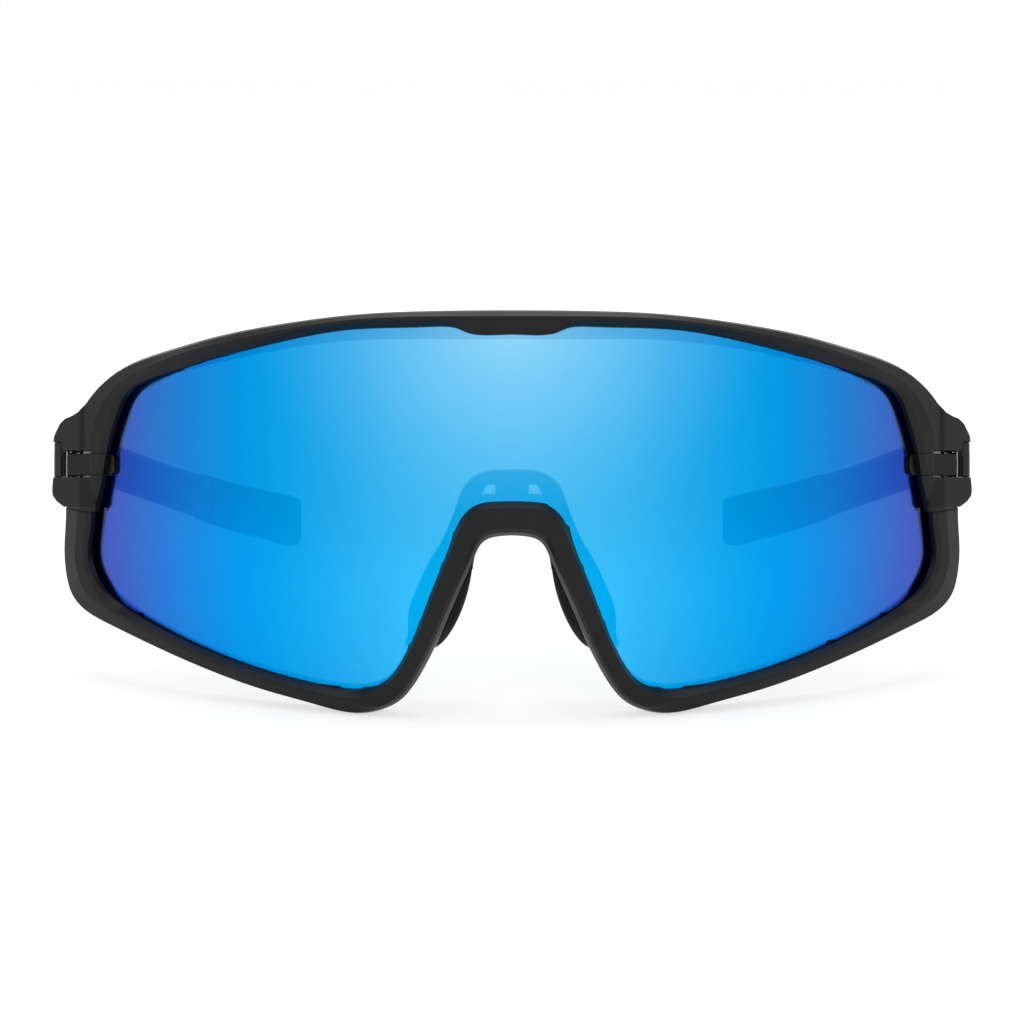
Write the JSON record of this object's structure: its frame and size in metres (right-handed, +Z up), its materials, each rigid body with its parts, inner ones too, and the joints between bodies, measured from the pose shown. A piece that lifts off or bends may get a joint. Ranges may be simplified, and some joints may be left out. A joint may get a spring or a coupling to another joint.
{
  "type": "wraparound sport sunglasses",
  "caption": "Wraparound sport sunglasses with a one-piece shield lens in a slim rim, folding temples with rubber tips and soft nose pads.",
  "frame": {"origin": "on the table, under the middle of the open glasses' bounding box", "axes": "+X to the right of a viewer who faces the lens, +Y back along the temples, +Z up"},
  "size_m": [0.1482, 0.1485, 0.0609],
  "materials": {
    "nylon": "satin moulded nylon",
    "bracket_nylon": "matte moulded nylon",
    "lens": "tinted polycarbonate with a blue mirror coating",
    "steel": "bright",
    "brass": "as turned",
    "rubber": "matte moulded rubber"
  },
  "bodies": {
    "front": {"frame_front": "nylon", "lower_rim": "nylon", "lens": "lens", "nose_bracket": "bracket_nylon", "lens_lock_left": "nylon", "hinge_screw_left": "steel", "hinge_insert_left": "brass", "nose_pad_left": "rubber", "lens_lock_right": "nylon", "hinge_screw_right": "steel", "hinge_insert_right": "brass", "nose_pad_right": "rubber"},
    "temple_left": {"temple_left": "nylon", "temple_grip_left": "rubber"},
    "temple_right": {"temple_right": "nylon", "temple_grip_right": "rubber"}
  },
  "joints": [
    {"name": "fold_left", "type": "hinge", "parent": "front", "child": "temple_left", "pos_m": [-0.0718, -0.03297, 0.03234], "axis": [0, -0.1736, -0.9848], "range_deg": [0, 76]},
    {"name": "fold_right", "type": "hinge", "parent": "front", "child": "temple_right", "pos_m": [0.0718, -0.03297, 0.03234], "axis": [0, 0.1736, 0.9848], "range_deg": [0, 69]}
  ]
}
